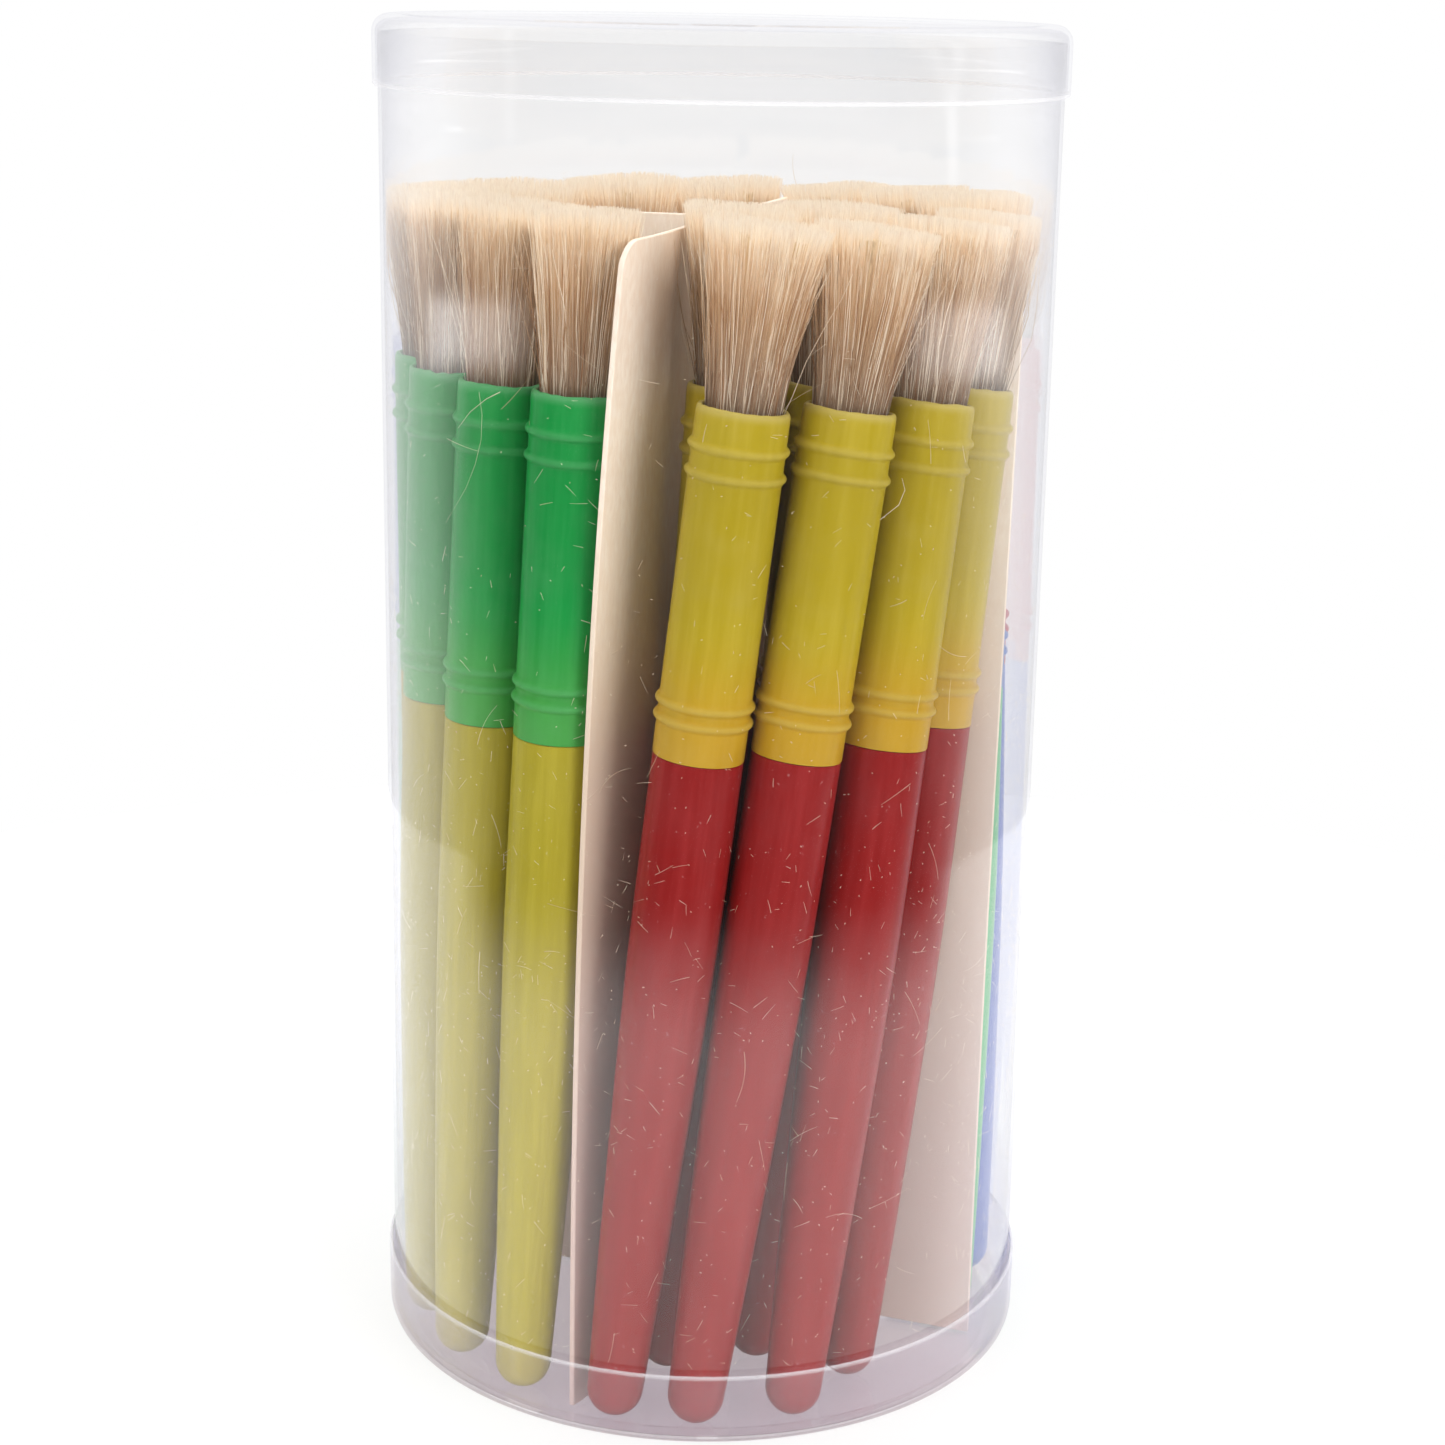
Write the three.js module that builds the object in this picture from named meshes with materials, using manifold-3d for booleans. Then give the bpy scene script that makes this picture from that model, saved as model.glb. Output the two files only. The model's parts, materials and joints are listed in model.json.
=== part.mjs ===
// A clear round plastic tub of chunky bristle brushes.
// Millimetres, +Z up, origin at the centre of the underside of the base cap.
//
// The tub is a thin clear tube, pushed into a clear base cap, with a clear lid over its top.
// Two card dividers, half-lapped on the tub's axis, make four compartments. Each brush is a tapered
// plastic handle with a turned-down spigot, a ribbed plastic ferrule pushed over the spigot, and a
// round tuft of bristle glued into the ferrule's other end. The brushes stand on their handle ends and
// lean a few degrees the same way round the tub, and the cards are twisted a little with them.
import * as THREE from "three";
import { mergeVertices } from "three/addons/utils/BufferGeometryUtils.js";
import Module from "manifold-3d";

// ---- tub -----------------------------------------------------------------------------------------
const TUBE_R_OUT = 50.0;
const TUBE_R_IN = 49.5;
const TUBE_Z0 = 2.7;
const TUBE_Z1 = 200.6;
const CAP_R_IN = 50.3; // base cap and lid both slip over the tube
const CAP_R_OUT = 50.8;
const CAP_FLOOR = 0.8; // thickness of the base cap's floor
const CAP_RIM_Z = 11.5; // top of the base cap's wall
const CAP_CORNER = 2.4; // rounded bottom corner
const LID_RIM_Z = 193.2; // lower edge of the lid's skirt
const LID_PLATE_Z = 202.4; // underside of the lid's plate
const LID_TOP_Z = 203.2;
const LID_CORNER = 2.0; // rounded top corner
const ROUND_SIDES = 64;

// ---- card dividers ---------------------------------------------------------------------------------
const CARD_HALF_WIDTH = 45.3;
const CARD_THICK = 0.8;
const CARD_Z0 = 1.3;
const CARD_TOP_Z = 175.0;
const CARD_CENTRE = [0.2, -0.3];
const CARD_CORNER = 4.0; // radius of the rounded top corners
const CARD_SLOT = 1.5;
const CARD_LAP_Z = 88.0; // where the two half-laps meet
const CARD_TWIST_H = 174.0;
// Each half of a card: its angle from +X at the floor, how far it has turned at the top, how late it turns
// (1 is evenly), and how far its outer edge curls, in degrees.
const CARD_A = { minus: [-113, 8.6, 2.4, -2], plus: [66.7, 7.2, 1, 0] };
const CARD_B = { minus: [160.1, 7.2, 1, 0], plus: [-19.9, 12.5, 2.85, 0] };
const CARD_CURL_FROM = 25; // distance from the tub's axis at which the curl starts
const CARD_CURL_OVER = 20;

// ---- brush (distances measured from the handle's end, along the brush) -------------------------------
const BRUSH_SIDES = 10;
const TIP_CENTRE = 4.2; // centre of the rounded end
const HANDLE = [
  [0, 0],
  [2.9, 0.9],
  [4.2, 4.2],
  [5.05, 25],
  [5.75, 47],
  [6.38, 72],
  [6.45, 102.7],
];
const SPIGOT_R = 5.2;
const SPIGOT_END = 119.8;
const FERRULE_START = 103.0;
const FERRULE_END = 152.4;
const FERRULE_R = 6.5;
const FERRULE_R_IN = 5.55;
const RIB_R = 6.92;
const RIB_HALF = 0.8;
const RIBS = [108.5, 110.9, 143.2, 146.9];
const TUFT_START = 120.2; // the glued root of the tuft
const TUFT_ROOT_R = 5.2;
const TUFT_TOP_R = 6.9;
const TUFT_END = 178.0;
const TIP_FLOOR_Z = 1.35; // lowest point of a handle's end, just above the cap's floor
const AXIS_TOP = 150.0; // distance along the brush at which the second pair below is given, near the ferrule's top

// name, colour scheme, [x, y] of the rounded end's centre, [x, y] of the axis at AXIS_TOP
const BRUSHES = [
  ["brush_01", "yellow_red", [-12.35, -43], [3.7, -41.68]],
  ["brush_02", "yellow_red", [-0.25, -44.85], [18.34, -37.07]],
  ["brush_03", "yellow_red", [14.3, -41.75], [29.85, -28.32]],
  ["brush_04", "yellow_red", [22.86, -29.37], [36.54, -15.63]],
  ["brush_05", "yellow_red", [-4.85, -27.85], [2.26, -25.21]],
  ["brush_06", "yellow_red", [8.85, -24.05], [16.03, -21.67]],
  ["brush_07", "green_yellow", [-26.69, -34.91], [-19.11, -34.24]],
  ["brush_08", "green_yellow", [-36.96, -24.65], [-30.07, -25.18]],
  ["brush_09", "green_yellow", [-43.05, -11.19], [-38.24, -13.54]],
  ["brush_10", "green_yellow", [-41.91, 5.18], [-42.08, 1.75]],
  ["brush_11", "blue_green", [39.66, -7.16], [38.12, 1.43]],
  ["brush_12", "red_blue", [43.49, 6.84], [38.77, 15.6]],
  ["brush_13", "red_blue", [37.56, 20.96], [31.46, 27.91]],
  ["brush_14", "red_blue", [27.78, 32.66], [20.33, 36.83]],
  ["brush_15", "blue_green", [8.99, 42.84], [1.96, 41.56]],
  ["brush_16", "blue_green", [-8.96, 41.84], [-14.91, 39.26]],
  ["brush_17", "blue_green", [-25.97, 33.97], [-29.94, 29.43]],
  ["brush_18", "blue_green", [-37.14, 21.17], [-38.35, 16.96]],
];

const COLOUR = {
  clear: 0xeef0f4,
  card: 0xd2bba6,
  bristle: 0xe6d2b2,
  yellow_ferrule: 0xd9c62c,
  red_handle: 0xb3262b,
  green_ferrule: 0x1fa24e,
  yellow_handle: 0xcdbf4c,
  red_ferrule: 0xb8323a,
  blue_handle: 0x3c5cae,
  blue_ferrule: 0x2f57b0,
  green_handle: 0x27a35a,
};
const SCHEMES = {
  yellow_red: ["yellow_ferrule", "red_handle"],
  green_yellow: ["green_ferrule", "yellow_handle"],
  red_blue: ["red_ferrule", "blue_handle"],
  blue_green: ["blue_ferrule", "green_handle"],
};

const plastic = (name) =>
  new THREE.MeshStandardMaterial({
    color: COLOUR[name],
    roughness: 0.38,
    metalness: 0,
  });
const clear = () =>
  new THREE.MeshStandardMaterial({
    color: COLOUR.clear,
    roughness: 0.08,
    metalness: 0,
    transparent: true,
    opacity: 0.25,
  });
const card = () =>
  new THREE.MeshStandardMaterial({
    color: COLOUR.card,
    roughness: 0.9,
    metalness: 0,
  });
const bristle = () =>
  new THREE.MeshStandardMaterial({
    color: COLOUR.bristle,
    roughness: 0.75,
    metalness: 0,
  });

const wasm = await Module();
wasm.setup();

function toSolid(geometry) {
  const g = geometry.clone();
  g.deleteAttribute("normal");
  g.deleteAttribute("uv");
  const m = mergeVertices(g, 1e-4);
  return new wasm.Manifold(
    new wasm.Mesh({
      numProp: 3,
      vertProperties: new Float32Array(m.attributes.position.array),
      triVerts: new Uint32Array(m.index.array),
    }),
  );
}

function toGeometry(solid) {
  const m = solid.getMesh();
  const g = new THREE.BufferGeometry();
  g.setAttribute(
    "position",
    new THREE.BufferAttribute(new Float32Array(m.vertProperties), 3),
  );
  g.setIndex(new THREE.BufferAttribute(new Uint32Array(m.triVerts), 1));
  g.computeVertexNormals();
  return g;
}

// A solid of revolution about +Z from [radius, height] pairs. LatheGeometry turns about +Y, so it is stood up.
function turned(profile, sides) {
  const g = new THREE.LatheGeometry(
    profile.map(([r, z]) => new THREE.Vector2(r, z)),
    sides,
  );
  return g.rotateX(Math.PI / 2);
}

const root = new THREE.Group();
function add(name, geometry, material, parent = root) {
  const mesh = new THREE.Mesh(geometry, material);
  mesh.name = name;
  parent.add(mesh);
  return mesh;
}

// ---- tub -----------------------------------------------------------------------------------------
add(
  "tub_tube",
  turned(
    [
      [TUBE_R_IN, TUBE_Z0],
      [TUBE_R_OUT, TUBE_Z0],
      [TUBE_R_OUT, TUBE_Z1],
      [TUBE_R_IN, TUBE_Z1],
      [TUBE_R_IN, TUBE_Z0],
    ],
    ROUND_SIDES,
  ),
  clear(),
);
add(
  "tub_base_cap",
  turned(
    [
      [0, 0],
      [CAP_R_OUT - CAP_CORNER, 0],
      [CAP_R_OUT - 0.7, 0.7],
      [CAP_R_OUT, CAP_CORNER],
      [CAP_R_OUT, CAP_RIM_Z],
      [CAP_R_IN, CAP_RIM_Z],
      [CAP_R_IN, CAP_CORNER],
      [CAP_R_IN - 0.6, CAP_FLOOR],
      [0, CAP_FLOOR],
    ],
    ROUND_SIDES,
  ),
  clear(),
);
add(
  "tub_lid",
  turned(
    [
      [0, LID_PLATE_Z],
      [CAP_R_IN - 0.6, LID_PLATE_Z],
      [CAP_R_IN, LID_TOP_Z - LID_CORNER],
      [CAP_R_IN, LID_RIM_Z],
      [CAP_R_OUT, LID_RIM_Z],
      [CAP_R_OUT, LID_TOP_Z - LID_CORNER],
      [CAP_R_OUT - 0.7, LID_TOP_Z - 0.6],
      [CAP_R_OUT - 2.2, LID_TOP_Z],
      [0, LID_TOP_Z],
    ],
    ROUND_SIDES,
  ),
  clear(),
);

// ---- card dividers ---------------------------------------------------------------------------------
const CARD_STATIONS = [
  -45.3, -44.8, -43.6, -41.3, -37, -32, -25, -14, 0, 14, 28, 41.3, 43.6, 44.8,
  45.3,
].map((x) => (x / 45.3) * CARD_HALF_WIDTH);

function cardGeometry(wings) {
  const nx = CARD_STATIONS.length - 1;
  const g = new THREE.BoxGeometry(nx, CARD_THICK, 1, nx, 1, 10);
  const p = g.attributes.position;
  const side = ([start, turn, late, curl], z, reach) => {
    const rise = Math.pow(Math.max(0, z) / CARD_TWIST_H, late);
    const out = Math.max(0, reach - CARD_CURL_FROM) / CARD_CURL_OVER;
    const a = THREE.MathUtils.degToRad(start + turn * rise + curl * out * out);
    return [Math.cos(a), Math.sin(a)];
  };
  for (let i = 0; i < p.count; i++) {
    const along = CARD_STATIONS[Math.round(p.getX(i) + nx / 2)];
    const across = p.getY(i);
    const share = p.getZ(i) + 0.5;
    const fromEnd = CARD_HALF_WIDTH - Math.abs(along);
    const inCorner = Math.max(0, CARD_CORNER - fromEnd);
    const drop =
      CARD_CORNER - Math.sqrt(CARD_CORNER * CARD_CORNER - inCorner * inCorner);
    const z = CARD_Z0 + share * (CARD_TOP_Z - drop - CARD_Z0);
    const reach = Math.abs(along);
    const ep = side(wings.plus, z, reach);
    const em = side(wings.minus, z, reach).map((c) => -c);
    const e = along >= 0 ? ep : em;
    // the card's own normal, turning smoothly from one half to the other
    const t = Math.min(1, Math.max(0, 0.5 + along / 28));
    const d = [em[0] * (1 - t) + ep[0] * t, em[1] * (1 - t) + ep[1] * t];
    const l = Math.hypot(d[0], d[1]);
    p.setXYZ(
      i,
      CARD_CENTRE[0] + e[0] * along - (d[1] / l) * across,
      CARD_CENTRE[1] + e[1] * along + (d[0] / l) * across,
      z,
    );
  }
  return g;
}

// The half-lap: a slot on the card's middle, from the floor up or from the top down.
function slot(angleDegrees, z0, z1) {
  const g = new THREE.BoxGeometry(CARD_SLOT, 6, z1 - z0);
  g.rotateZ(THREE.MathUtils.degToRad(angleDegrees));
  g.translate(CARD_CENTRE[0], CARD_CENTRE[1], (z0 + z1) / 2);
  return g;
}

add(
  "divider_a",
  toGeometry(
    toSolid(cardGeometry(CARD_A)).subtract(toSolid(slot(70, -5, CARD_LAP_Z))),
  ),
  card(),
);
add(
  "divider_b",
  toGeometry(
    toSolid(cardGeometry(CARD_B)).subtract(
      toSolid(slot(-15, CARD_LAP_Z - 0.6, 210)),
    ),
  ),
  card(),
);

// ---- brushes -----------------------------------------------------------------------------------------
const handleProfile = [
  ...HANDLE,
  [SPIGOT_R, HANDLE[HANDLE.length - 1][1]],
  [SPIGOT_R, SPIGOT_END],
  [0, SPIGOT_END],
];
const ferruleProfile = [
  [FERRULE_R_IN, FERRULE_START],
  [FERRULE_R, FERRULE_START],
  ...RIBS.flatMap((s) => [
    [FERRULE_R, s - RIB_HALF],
    [RIB_R, s],
    [FERRULE_R, s + RIB_HALF],
  ]),
  [FERRULE_R, FERRULE_END],
  [FERRULE_R_IN, FERRULE_END],
  [FERRULE_R_IN, FERRULE_START],
];
const tuftProfile = [
  [0, TUFT_START],
  [TUFT_ROOT_R, TUFT_START],
  [TUFT_ROOT_R, FERRULE_END],
  [TUFT_TOP_R, TUFT_END],
  [0, TUFT_END],
];

for (const [name, scheme, foot, top] of BRUSHES) {
  const reach = AXIS_TOP - TIP_CENTRE;
  const dx = top[0] - foot[0];
  const dy = top[1] - foot[1];
  const axis = new THREE.Vector3(
    dx,
    dy,
    Math.sqrt(reach * reach - dx * dx - dy * dy),
  ).normalize();
  const brush = new THREE.Group();
  brush.position.set(foot[0], foot[1], TIP_FLOOR_Z + TIP_CENTRE);
  brush.quaternion.setFromUnitVectors(new THREE.Vector3(0, 0, 1), axis);
  brush.position.addScaledVector(axis, -TIP_CENTRE);
  root.add(brush);
  const [ferruleColour, handleColour] = SCHEMES[scheme];
  add(
    name + "_handle",
    turned(handleProfile, BRUSH_SIDES),
    plastic(handleColour),
    brush,
  );
  add(
    name + "_ferrule",
    turned(ferruleProfile, BRUSH_SIDES),
    plastic(ferruleColour),
    brush,
  );
  add(name + "_bristles", turned(tuftProfile, BRUSH_SIDES), bristle(), brush);
}

export default root;
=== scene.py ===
"""A clear round tub of chunky bristle brushes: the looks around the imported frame. Metres, +Z up."""

import json
import math

import bpy
import numpy as np
from mathutils import Matrix, Vector

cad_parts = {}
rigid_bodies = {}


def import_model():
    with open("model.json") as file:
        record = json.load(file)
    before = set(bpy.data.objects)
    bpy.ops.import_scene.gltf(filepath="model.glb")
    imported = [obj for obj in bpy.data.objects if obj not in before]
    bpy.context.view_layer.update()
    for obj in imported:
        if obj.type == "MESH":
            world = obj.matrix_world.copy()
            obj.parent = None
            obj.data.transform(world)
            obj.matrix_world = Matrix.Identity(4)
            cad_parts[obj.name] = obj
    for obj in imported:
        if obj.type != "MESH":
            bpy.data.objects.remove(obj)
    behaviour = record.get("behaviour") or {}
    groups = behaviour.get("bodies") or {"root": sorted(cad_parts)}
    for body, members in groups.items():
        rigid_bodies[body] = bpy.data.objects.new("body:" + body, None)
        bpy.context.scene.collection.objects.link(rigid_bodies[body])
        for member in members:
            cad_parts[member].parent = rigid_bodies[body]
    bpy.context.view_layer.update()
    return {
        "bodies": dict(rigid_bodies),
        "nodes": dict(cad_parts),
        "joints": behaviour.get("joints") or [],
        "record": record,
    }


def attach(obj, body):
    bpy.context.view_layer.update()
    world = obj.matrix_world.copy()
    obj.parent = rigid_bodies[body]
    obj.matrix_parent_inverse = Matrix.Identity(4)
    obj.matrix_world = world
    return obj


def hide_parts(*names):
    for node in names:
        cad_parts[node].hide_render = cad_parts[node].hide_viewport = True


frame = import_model()
MM = 0.001
rng = np.random.default_rng(20417)


# ---------------------------------------------------------------------------------------------------
# mesh helpers
# ---------------------------------------------------------------------------------------------------
def mesh_from(name, co, faces, smooth=True, sharp=None):
    """A mesh from an (n, 3) array of metres and a list of faces."""
    me = bpy.data.meshes.new(name)
    me.from_pydata([tuple(map(float, c)) for c in co], [], [tuple(map(int, f)) for f in faces])
    me.update()
    if smooth:
        me.polygons.foreach_set("use_smooth", [True] * len(me.polygons))
        if sharp is not None:
            me.set_sharp_from_angle(angle=math.radians(sharp))
    return me


def tri_mesh(name, co, tris, smooth=True):
    """The same, fast, for many triangles."""
    me = bpy.data.meshes.new(name)
    co = np.ascontiguousarray(co, np.float32)
    tris = np.ascontiguousarray(tris, np.int32)
    me.vertices.add(len(co))
    me.vertices.foreach_set("co", co.ravel())
    me.loops.add(tris.size)
    me.loops.foreach_set("vertex_index", tris.ravel())
    me.polygons.add(len(tris))
    me.polygons.foreach_set("loop_start", np.arange(0, tris.size, 3, dtype=np.int32))
    me.polygons.foreach_set("loop_total", np.full(len(tris), 3, np.int32))
    me.polygons.foreach_set("use_smooth", np.full(len(tris), smooth, bool))
    me.update(calc_edges=True)
    me.validate()
    return me


def attribute(me, name, values):
    a = me.attributes.new(name, "FLOAT", "POINT")
    a.data.foreach_set("value", np.ascontiguousarray(values, np.float32))


def add(name, me, *materials):
    o = bpy.data.objects.new(name, me)
    bpy.context.scene.collection.objects.link(o)
    for m in materials:
        o.data.materials.append(m)
    return o


def lathe(profile, sides):
    """Vertices and faces of a solid of revolution about Z from [radius, height] pairs in millimetres.
    A profile that starts and ends on the axis is closed by poles, and any other is closed on itself."""
    co, rings, faces = [], [], []
    for r, z in profile:
        if r < 1e-6:
            rings.append([len(co)])
            co.append((0, 0, z * MM))
        else:
            base = len(co)
            for k in range(sides):
                a = 2 * math.pi * k / sides
                co.append((r * MM * math.cos(a), r * MM * math.sin(a), z * MM))
            rings.append(list(range(base, base + sides)))
    closed = profile[0][0] > 1e-6
    pairs = list(zip(rings, rings[1:])) + ([(rings[-1], rings[0])] if closed else [])
    for lo, hi in pairs:
        for k in range(sides):
            n = (k + 1) % sides
            if len(lo) == 1 and len(hi) == 1:
                continue
            if len(lo) == 1:
                faces.append((lo[0], hi[n], hi[k]))
            elif len(hi) == 1:
                faces.append((lo[k], lo[n], hi[0]))
            else:
                faces.append((lo[k], lo[n], hi[n], hi[k]))
    return np.array(co), faces


def arc(cx, cy, r, a0, a1, n):
    """Points on an arc, for profiles; angles in degrees."""
    return [
        (cx + r * math.cos(math.radians(a0 + (a1 - a0) * k / n)), cy + r * math.sin(math.radians(a0 + (a1 - a0) * k / n)))
        for k in range(n + 1)
    ]


# ---------------------------------------------------------------------------------------------------
# material helpers
# ---------------------------------------------------------------------------------------------------
class Nodes:
    def __init__(self, name):
        self.m = bpy.data.materials.new(name)
        self.m.use_nodes = True
        self.t = self.m.node_tree
        self.t.nodes.clear()
        self.out = self.t.nodes.new("ShaderNodeOutputMaterial")

    def n(self, kind, **props):
        node = self.t.nodes.new("ShaderNode" + kind)
        for k, v in props.items():
            setattr(node, k, v)
        return node

    def link(self, a, b):
        self.t.links.new(a, b)

    def put(self, socket, value):
        if isinstance(value, bpy.types.NodeSocket):
            self.link(value, socket)
        elif isinstance(value, (tuple, list)):
            socket.default_value = tuple(value) + ((1.0,) if len(value) == 3 and len(socket.default_value) == 4 else ())
        else:
            socket.default_value = value

    def math(self, op, a, b=0.0, c=0.0, clamp=False):
        node = self.n("Math", operation=op, use_clamp=clamp)
        for i, v in enumerate((a, b, c)):
            if i < len(node.inputs):
                self.put(node.inputs[i], v)
        return node.outputs[0]

    def mix(self, fac, a, b, blend="MIX"):
        node = self.n("Mix", data_type="RGBA", blend_type=blend)
        self.put(node.inputs[0], fac)
        self.put(node.inputs[6], a)
        self.put(node.inputs[7], b)
        return node.outputs[2]

    def ramp(self, fac, stops, mode="LINEAR"):
        node = self.n("ValToRGB")
        node.color_ramp.interpolation = mode
        e = node.color_ramp.elements
        while len(e) < len(stops):
            e.new(0.5)
        for k, (p, c) in enumerate(stops):
            e[k].position = p
            e[k].color = (*c, 1) if len(c) == 3 else (c[0], c[0], c[0], 1)
        self.put(node.inputs[0], fac)
        return node.outputs[0]

    def coords(self, scale=(1, 1, 1)):
        tc = self.n("TexCoord")
        mp = self.n("Mapping")
        self.link(tc.outputs["Object"], mp.inputs["Vector"])
        mp.inputs["Scale"].default_value = scale
        return mp.outputs[0]

    def place(self, scale=(1, 1, 1)):
        """The point's place in its brush's own frame, in metres, with +Z along the brush."""
        at = self.n("Attribute", attribute_name="place")
        mp = self.n("Mapping")
        self.link(at.outputs["Vector"], mp.inputs["Vector"])
        mp.inputs["Scale"].default_value = scale
        return mp.outputs[0]

    def noise(self, vector, scale, detail=3.0, rough=0.55, distortion=0.0):
        node = self.n("TexNoise")
        self.link(vector, node.inputs["Vector"])
        node.inputs["Scale"].default_value = scale
        node.inputs["Detail"].default_value = detail
        node.inputs["Roughness"].default_value = rough
        node.inputs["Distortion"].default_value = distortion
        return node.outputs[0]

    def step(self, value, lo, hi, to_lo=0.0, to_hi=1.0):
        node = self.n("MapRange", interpolation_type="SMOOTHSTEP")
        self.put(node.inputs[0], value)
        node.inputs[1].default_value = lo
        node.inputs[2].default_value = hi
        node.inputs[3].default_value = to_lo
        node.inputs[4].default_value = to_hi
        return node.outputs[0]

    def bump(self, height, strength, distance):
        node = self.n("Bump")
        node.inputs["Strength"].default_value = strength
        node.inputs["Distance"].default_value = distance
        self.link(height, node.inputs["Height"])
        return node.outputs[0]


def srgb(r, g, b):
    return tuple(((c / 255) / 12.92 if c / 255 <= 0.04045 else ((c / 255 + 0.055) / 1.055) ** 2.4) for c in (r, g, b))


def lighter(c, k):
    return tuple(x + (1 - x) * k for x in c)


def darker(c, k):
    return tuple(x * k for x in c)


def handle_material(name, colour):
    """Moulded satin plastic: faint drag lines along the handle, small scuffs, and pale specks of dust."""
    g = Nodes(name)
    long = g.place((1, 1, 0.05))
    obj = g.place()
    streak = g.noise(long, 900, 4, 0.6)
    cloud = g.noise(obj, 60, 3, 0.55)
    speck = g.step(g.noise(obj, 900, 2, 0.6), 0.70, 0.74)
    c = g.mix(g.step(streak, 0.35, 0.7), darker(colour, 0.88), lighter(colour, 0.008))
    c = g.mix(g.math("MULTIPLY", g.step(cloud, 0.35, 0.75), 0.22), c, lighter(colour, 0.035))
    c = g.mix(g.math("MULTIPLY", speck, 0.25), c, lighter(colour, 0.35))
    p = g.n("BsdfPrincipled")
    g.put(p.inputs["Base Color"], c)
    g.put(p.inputs["Roughness"], g.math("MULTIPLY_ADD", cloud, 0.18, 0.27))
    p.inputs["Specular IOR Level"].default_value = 0.16
    p.inputs["Subsurface Weight"].default_value = 0.0
    p.inputs["Coat Weight"].default_value = 0.10
    p.inputs["Coat Roughness"].default_value = 0.30
    h = g.math("MULTIPLY_ADD", streak, 0.6, g.math("MULTIPLY", speck, 0.8))
    g.link(g.bump(h, 0.25, 0.00004), p.inputs["Normal"])
    g.link(p.outputs[0], g.out.inputs[0])
    return g.m


def ferrule_material(name, colour, under):
    """Thin moulded plastic: the handle's colour shows through the lower third, a band above it is painted darker as
    painted shade of the hollow inside, and the ribs and lip are painted paler as painted highlights.
    """
    g = Nodes(name)
    obj = g.place()
    sep = g.n("SeparateXYZ")
    g.link(obj, sep.inputs[0])
    x, y, z = sep.outputs[0], sep.outputs[1], sep.outputs[2]
    radius = g.math("SQRT", g.math("ADD", g.math("MULTIPLY", x, x), g.math("MULTIPLY", y, y)))
    long = g.place((1, 1, 0.06))
    streak = g.noise(long, 700, 3, 0.6)
    cloud = g.noise(obj, 85, 3, 0.6)
    # how much of what is inside shows: the spigot up to 118 mm; above it, painted shade of the hollow where the
    # bristle's root sits
    wobble = g.math("MULTIPLY_ADD", cloud, 0.006, z)
    spigot = g.step(wobble, 0.1265, 0.1085)
    root = g.step(wobble, 0.122, 0.134)
    root = g.math("MULTIPLY", root, g.step(z, 0.1485, 0.1415))
    base = g.mix(g.step(streak, 0.3, 0.75), darker(colour, 0.91), lighter(colour, 0.015))
    c = g.mix(g.math("MULTIPLY", spigot, 0.26), base, under)
    # painted shade: the band above the spigot is painted darker
    c = g.mix(g.math("MULTIPLY", root, 0.20), c, darker(colour, 0.62))
    c = g.mix(g.math("MULTIPLY", g.step(cloud, 0.45, 0.8), 0.16), c, lighter(colour, 0.12))
    # painted highlight: the ribs are painted paler
    ribs = g.step(radius, 0.00660, 0.00705)
    c = g.mix(g.math("MULTIPLY", ribs, 0.30), c, lighter(colour, 0.10))
    # painted highlight: the lip is painted paler
    lip = g.step(z, 0.1508, 0.1524)
    c = g.mix(g.math("MULTIPLY", lip, 0.50), c, lighter(colour, 0.16))
    p = g.n("BsdfPrincipled")
    g.put(p.inputs["Base Color"], c)
    g.put(p.inputs["Roughness"], g.math("MULTIPLY_ADD", cloud, 0.16, 0.26))
    p.inputs["Specular IOR Level"].default_value = 0.16
    p.inputs["Coat Weight"].default_value = 0.04
    p.inputs["Coat Roughness"].default_value = 0.2
    g.link(g.bump(g.math("ADD", streak, cloud), 0.30, 0.00005), p.inputs["Normal"])
    g.link(p.outputs[0], g.out.inputs[0])
    return g.m


def bristle_material(name):
    """Bristle: the colour runs from a darker tan-grey at the root to cream at the split tips, and each hair has its own
    tone.
    """
    g = Nodes(name)
    along = g.n("Attribute", attribute_name="along").outputs["Fac"]
    tone = g.n("Attribute", attribute_name="tone").outputs["Fac"]
    base = g.ramp(along, [(0.0, srgb(158, 136, 116)), (0.25, srgb(188, 160, 132)), (0.6, srgb(210, 178, 141)), (0.85, srgb(233, 211, 181)), (1.0, srgb(247, 236, 219))])
    dark = g.math("MULTIPLY", g.step(tone, 0.76, 0.97), g.step(along, 1.0, 0.55, 0.12, 0.72))
    c = g.mix(dark, base, srgb(162, 112, 70))
    c = g.mix(g.math("MULTIPLY", g.step(tone, 0.30, 0.08), 0.85), c, srgb(250, 240, 222))
    fleck = g.noise(g.coords((1, 1, 0.15)), 1100, 2, 0.5)
    c = g.mix(g.math("MULTIPLY", g.step(fleck, 0.50, 0.75), 0.22), c, srgb(196, 150, 104))
    p = g.n("BsdfPrincipled")
    g.put(p.inputs["Base Color"], c)
    p.inputs["Roughness"].default_value = 0.5
    p.inputs["Specular IOR Level"].default_value = 0.35
    thin = g.n("BsdfTranslucent")
    g.put(thin.inputs[0], c)
    both = g.n("MixShader")
    both.inputs[0].default_value = 0.36
    g.link(p.outputs[0], both.inputs[1])
    g.link(thin.outputs[0], both.inputs[2])
    g.link(both.outputs[0], g.out.inputs[0])
    return g.m


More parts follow.
